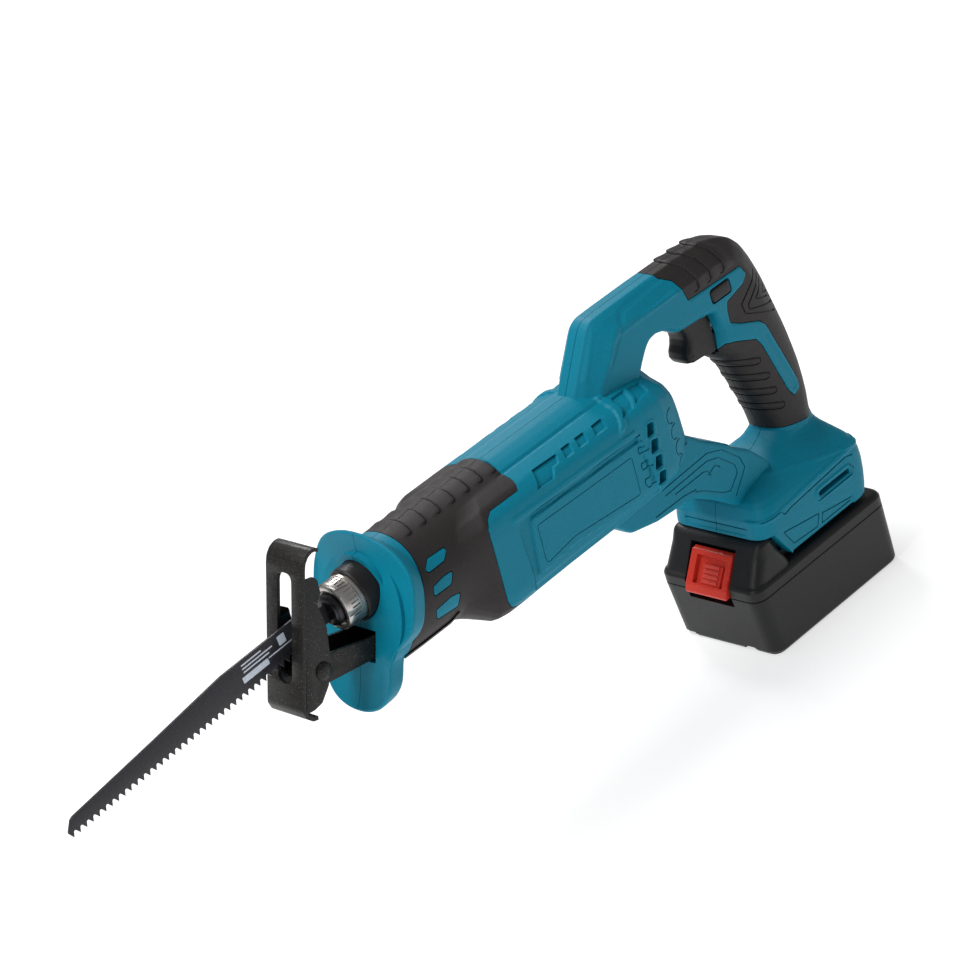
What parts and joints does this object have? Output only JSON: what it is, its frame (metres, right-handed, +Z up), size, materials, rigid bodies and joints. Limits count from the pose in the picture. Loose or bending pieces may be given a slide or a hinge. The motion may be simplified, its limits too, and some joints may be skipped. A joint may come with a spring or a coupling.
{
  "type": "reciprocating saw",
  "caption": "Cordless D-handle reciprocating saw with a tapered blade, pivoting shoe, tool-free blade clamp, rubber grips and a slide-on battery.",
  "frame": {"origin": "centre of the battery's flat base", "axes": "+X along the blade's stroke from the blade towards the rear handle, -Y is the tool's left side, +Z up from the battery's base"},
  "size_m": [0.5349, 0.078, 0.2293],
  "materials": {
    "teal_plastic": "fine-grained moulded nylon",
    "black_rubber": "matt overmoulded rubber",
    "black_plastic": "satin moulded plastic",
    "red_plastic": "satin moulded plastic",
    "steel": "turned and plated",
    "black_steel": "black oxide",
    "powder_coat": "speckled dark grey powder coat",
    "aluminium": "die cast",
    "bronze": "sintered bronze",
    "copper": "enamelled copper",
    "board": "coated circuit board"
  },
  "bodies": {
    "tool": {"controller_board": "board", "crank_bearing": "steel", "front_grip_left": "black_rubber", "front_grip_right": "black_rubber", "gear_case": "aluminium", "gear_case_cover": "aluminium", "gear_case_nose": "aluminium", "handle_overmould_left": "black_rubber", "handle_overmould_right": "black_rubber", "housing_screw_1": "black_steel", "housing_screw_2": "black_steel", "housing_screw_3": "black_steel", "housing_screw_4": "black_steel", "housing_screw_5": "black_steel", "housing_screw_6": "black_steel", "housing_screw_7": "black_steel", "left_housing": "teal_plastic", "motor_front_bearing": "steel", "motor_rear_bearing": "steel", "motor_stator": "copper", "nose_seal": "black_rubber", "right_housing": "teal_plastic", "shoe_pivot_rivet": "powder_coat", "shoe_strut": "powder_coat", "slider_bush_front": "bronze", "slider_bush_rear": "bronze", "switch_body": "black_plastic", "terminal_block": "black_plastic", "terminal_left": "copper", "terminal_right": "copper", "trigger_spring": "steel"},
    "trigger": {"trigger": "black_plastic"},
    "lock_off": {"lock_off_button": "black_plastic"},
    "motor": {"motor_rotor": "steel", "cooling_fan": "black_plastic", "drive_pinion": "steel"},
    "crank": {"crank_gear": "steel"},
    "slider": {"slider_shaft": "steel", "yoke_roller": "steel", "blade_clamp_core": "black_steel", "blade_lock_pin": "steel", "clamp_spring": "steel", "blade": "black_steel"},
    "collar": {"blade_clamp_collar": "steel"},
    "shoe": {"shoe": "powder_coat"},
    "battery": {"battery_lower_case": "black_plastic", "battery_upper_case": "black_plastic", "battery_button_spring": "steel", "battery_cell_01": "steel", "battery_cell_02": "steel", "battery_cell_03": "steel", "battery_cell_04": "steel", "battery_cell_05": "steel", "battery_cell_06": "steel", "battery_cell_07": "steel", "battery_cell_08": "steel", "battery_cell_09": "steel", "battery_cell_10": "steel"},
    "battery_button": {"battery_release_button": "red_plastic"}
  },
  "joints": [
    {"name": "blade_stroke", "type": "slide", "parent": "tool", "child": "slider", "axis": [-1, 0, 0], "range_m": [0, 0.02]},
    {"name": "collar_twist", "type": "hinge", "parent": "slider", "child": "collar", "pos_m": [-0.285, 0, 0.1775], "axis": [-1, 0, 0], "range_deg": [0, 50], "stiffness_Nm_per_rad": 0.06, "springref_deg": -17.19},
    {"name": "shoe_pivot", "type": "hinge", "parent": "tool", "child": "shoe", "pos_m": [-0.3223, 0, 0.1597], "axis": [0, 1, 0], "range_deg": [-18, 8]},
    {"name": "trigger_pull", "type": "slide", "parent": "tool", "child": "trigger", "axis": [1, 0, 0], "range_m": [0, 0.007], "stiffness_N_per_m": 900, "springref_m": -0.003, "deforming": ["trigger_spring"]},
    {"name": "lock_off_slide", "type": "slide", "parent": "tool", "child": "lock_off", "axis": [0, -1, 0], "range_m": [0, 0.005]},
    {"name": "motor_spin", "type": "hinge", "parent": "tool", "child": "motor", "pos_m": [-0.11, 0, 0.166], "axis": [1, 0, 0], "continuous": true},
    {"name": "crank_spin", "type": "hinge", "parent": "tool", "child": "crank", "pos_m": [-0.172, 0, 0.15], "axis": [0, 0, 1], "continuous": true},
    {"name": "battery_slide", "type": "slide", "parent": "tool", "child": "battery", "axis": [-1, 0, 0], "range_m": [0, 0.11]},
    {"name": "battery_button_press", "type": "slide", "parent": "battery", "child": "battery_button", "axis": [0, 0, -1], "range_m": [0, 0.005], "stiffness_N_per_m": 600, "springref_m": -0.003, "deforming": ["battery_button_spring"]}
  ],
  "couplings": [
    {"joint": "motor_spin", "follows": "crank_spin", "ratio": 4.375}
  ]
}
